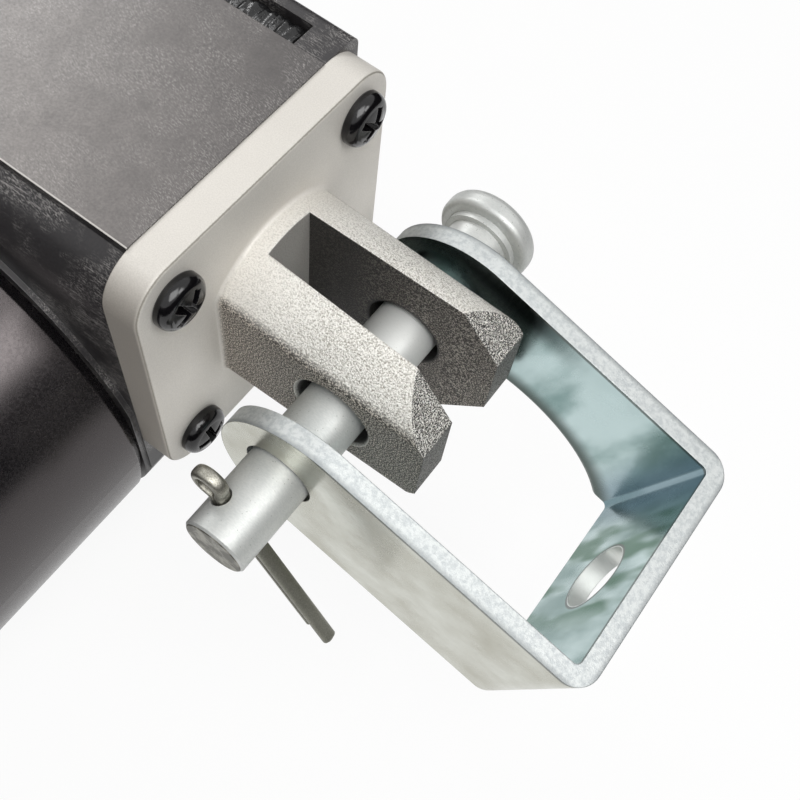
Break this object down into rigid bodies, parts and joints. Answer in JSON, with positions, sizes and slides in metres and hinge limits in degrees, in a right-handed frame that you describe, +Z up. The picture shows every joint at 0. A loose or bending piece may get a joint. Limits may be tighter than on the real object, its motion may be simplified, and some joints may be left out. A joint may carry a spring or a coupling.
{
  "type": "electric linear actuator",
  "caption": "Worm-driven electric linear actuator: side motor, gear housing, cast rear fork on a pinned U-bracket, lead screw and extending rod with an eye.",
  "frame": {"origin": "axis of the clevis pin at the middle of the rear fork", "axes": "+X forward along the spindle, the way the rod extends; +Y along the clevis pin towards the motor side and the cotter; +Z up, away from the motor's lower side"},
  "size_m": [0.3123, 0.1279, 0.0684],
  "materials": {
    "cast_alloy": "shot-blasted zinc-alloy die casting",
    "housing_black": "satin charcoal paint on a die casting",
    "motor_black": "satin black paint on drawn steel",
    "zinc_sheet": "blue-white zinc plate on steel sheet",
    "pin_zinc": "satin zinc plate on turned steel",
    "black_oxide": "glossy black oxide on steel",
    "cotter_steel": "dull drawn steel wire",
    "tube_alloy": "satin anodised drawn tube",
    "rod_chrome": "ground hard chrome",
    "bearing_steel": "ground bearing steel",
    "screw_steel": "rolled steel, oiled",
    "bronze": "sintered bronze, oiled",
    "seal_rubber": "moulded nitrile rubber",
    "cap_plastic": "moulded glass-filled nylon",
    "nut_plastic": "machined acetal",
    "board_green": "glass-epoxy circuit board",
    "ferrite": "sintered ferrite",
    "copper": "enamelled copper wire and bars",
    "core_steel": "stacked silicon-steel sheets",
    "carbon": "pressed carbon"
  },
  "bodies": {
    "gearbox": {"rear_clevis": "cast_alloy", "clevis_screws": "black_oxide", "gear_housing": "housing_black", "bearing_carrier": "tube_alloy", "rear_bearing_outer_race": "bearing_steel", "front_bearing_outer_race": "bearing_steel", "outer_tube": "tube_alloy", "tube_seal": "seal_rubber", "front_cap": "tube_alloy", "rod_bush": "bronze", "rod_wiper": "seal_rubber", "limit_sensor_strip": "board_green", "limit_sensors": "cap_plastic", "worm_bush": "bronze", "motor_can": "motor_black", "motor_front_bush": "bronze", "motor_magnets": "ferrite", "brush_holder": "cap_plastic", "brushes": "carbon", "brush_springs": "bearing_steel", "motor_bolts": "black_oxide", "motor_end_cap": "cap_plastic", "motor_rear_bush": "bronze", "cable_grommet": "seal_rubber"},
    "spindle": {"lead_screw": "screw_steel", "worm_wheel": "nut_plastic", "wheel_key": "screw_steel", "wheel_clip": "black_oxide", "rear_bearing_inner_race": "bearing_steel", "rear_bearing_balls": "bearing_steel", "front_bearing_inner_race": "bearing_steel", "front_bearing_balls": "bearing_steel"},
    "rotor": {"worm_shaft": "screw_steel", "armature_core": "core_steel", "armature_windings": "copper", "commutator": "copper"},
    "rod": {"drive_nut": "nut_plastic", "trip_magnet": "ferrite", "piston_rod": "rod_chrome", "rod_roll_pin": "bearing_steel", "rod_end": "cast_alloy"},
    "bracket": {"mounting_bracket": "zinc_sheet", "clevis_pin": "pin_zinc", "cotter_pin": "cotter_steel"}
  },
  "joints": [
    {"name": "rotor_spin", "type": "hinge", "parent": "gearbox", "child": "rotor", "pos_m": [0.049, 0, -0.018], "axis": [0, 1, 0], "range_deg": [0, 323990]},
    {"name": "spindle_spin", "type": "hinge", "parent": "gearbox", "child": "spindle", "pos_m": [0, 0, 0], "axis": [1, 0, 0], "range_deg": [-12000, 0]},
    {"name": "rod_slide", "type": "slide", "parent": "gearbox", "child": "rod", "axis": [1, 0, 0], "range_m": [0, 0.1]},
    {"name": "bracket_pivot", "type": "hinge", "parent": "gearbox", "child": "bracket", "pos_m": [0, 0, 0], "axis": [0, 1, 0], "range_deg": [-72, 107]}
  ],
  "couplings": [
    {"joint": "spindle_spin", "follows": "rotor_spin", "ratio": -0.037037},
    {"joint": "rod_slide", "follows": "rotor_spin", "m_per_rad": 0.000017684}
  ]
}
